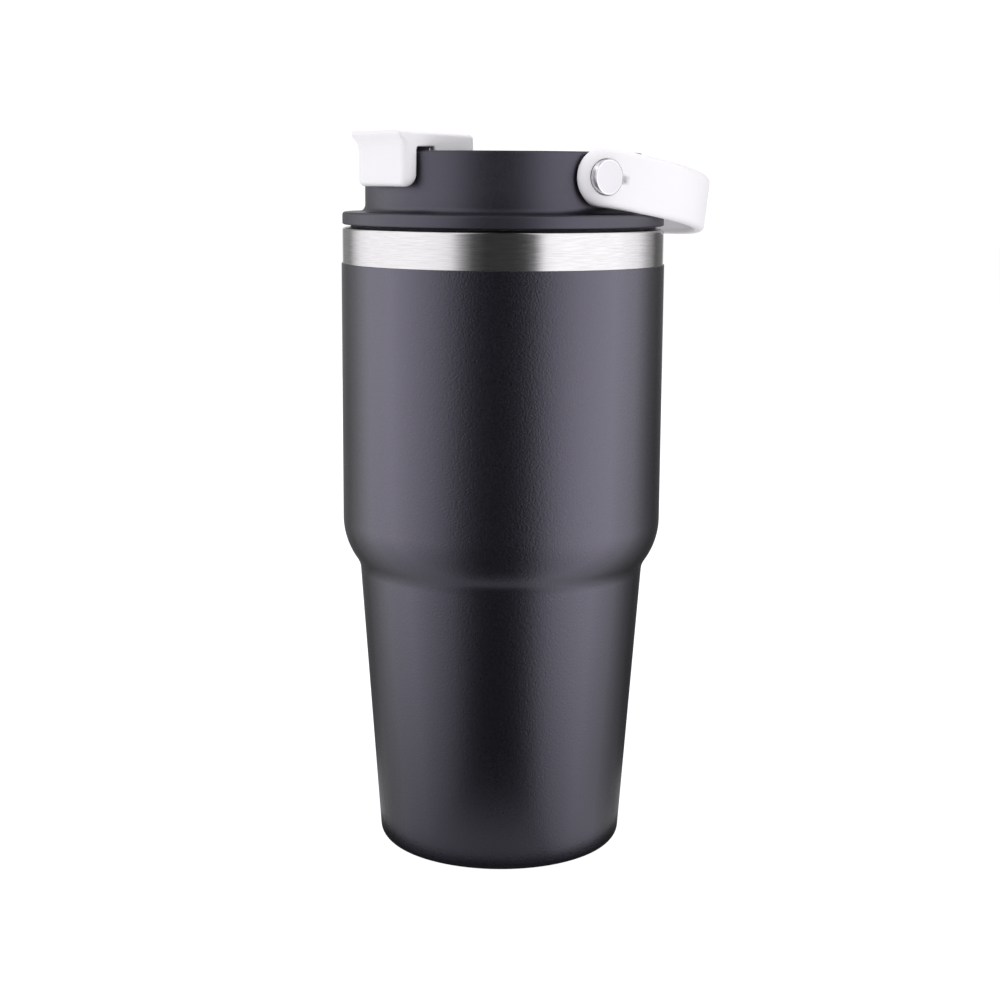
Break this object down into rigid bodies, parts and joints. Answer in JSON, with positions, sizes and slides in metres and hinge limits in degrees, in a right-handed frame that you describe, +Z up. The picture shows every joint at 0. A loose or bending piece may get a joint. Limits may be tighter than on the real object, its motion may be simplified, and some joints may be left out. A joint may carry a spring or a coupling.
{
  "type": "insulated travel mug",
  "caption": "Stepped double-wall steel travel mug with a screw lid, a flip cap over the drinking spout and a swinging carry handle.",
  "frame": {"origin": "centre of the foot ring, on the surface the mug stands on", "axes": "+Z up along the mug's axis; the flip cap faces -Y; the handle pivots lie on +X and -X; the folded handle points to +Y"},
  "size_m": [0.098, 0.1205, 0.2187],
  "materials": {
    "band_steel": "brushed round the mug",
    "powder_coat": "fine powder coat",
    "liner_steel": "satin",
    "base_steel": "satin",
    "seal_bead": "matte",
    "getter_alloy": "matte",
    "lid_plastic": "satin",
    "black_silicone": "matte",
    "brass": "machined",
    "screw_steel": "machined",
    "cap_steel": "bright satin face",
    "washer_plastic": "matte",
    "white_plastic": "soft satin",
    "clear_silicone": "matte"
  },
  "bodies": {
    "cup": {"outer_shell": "band_steel", "powder_coat": "powder_coat", "inner_liner": "liner_steel", "shell_bottom": "base_steel", "bottom_cover": "base_steel", "vacuum_seal": "seal_bead", "getter": "getter_alloy", "getter_clip": "liner_steel"},
    "seal": {"lid_gasket": "black_silicone"},
    "lid": {"lid_shell": "lid_plastic", "lid_insert": "lid_plastic", "pivot_inserts": "brass", "pivot_screws": "screw_steel", "pivot_caps": "cap_steel", "outer_washers": "washer_plastic", "inner_washers": "washer_plastic", "hinge_pin": "screw_steel"},
    "carry_handle": {"handle": "white_plastic"},
    "flip": {"flip_cap": "white_plastic", "flip_stopper": "clear_silicone"}
  },
  "joints": [
    {"name": "lid_lift", "type": "slide", "parent": "cup", "child": "seal", "axis": [0, 0, 1], "range_m": [0, 0.0201]},
    {"name": "lid_turn", "type": "hinge", "parent": "seal", "child": "lid", "pos_m": [0, 0, 0], "axis": [0, 0, 1], "range_deg": [0, 900]},
    {"name": "handle_swing", "type": "hinge", "parent": "lid", "child": "carry_handle", "pos_m": [0, 0, 0.206], "axis": [1, 0, 0], "range_deg": [0, 196]},
    {"name": "flip_open", "type": "hinge", "parent": "lid", "child": "flip", "pos_m": [0, -0.0226, 0.2105], "axis": [-1, 0, 0], "range_deg": [0, 165]}
  ],
  "couplings": [
    {"joint": "lid_lift", "follows": "lid_turn", "m_per_rad": 0.0012732}
  ]
}
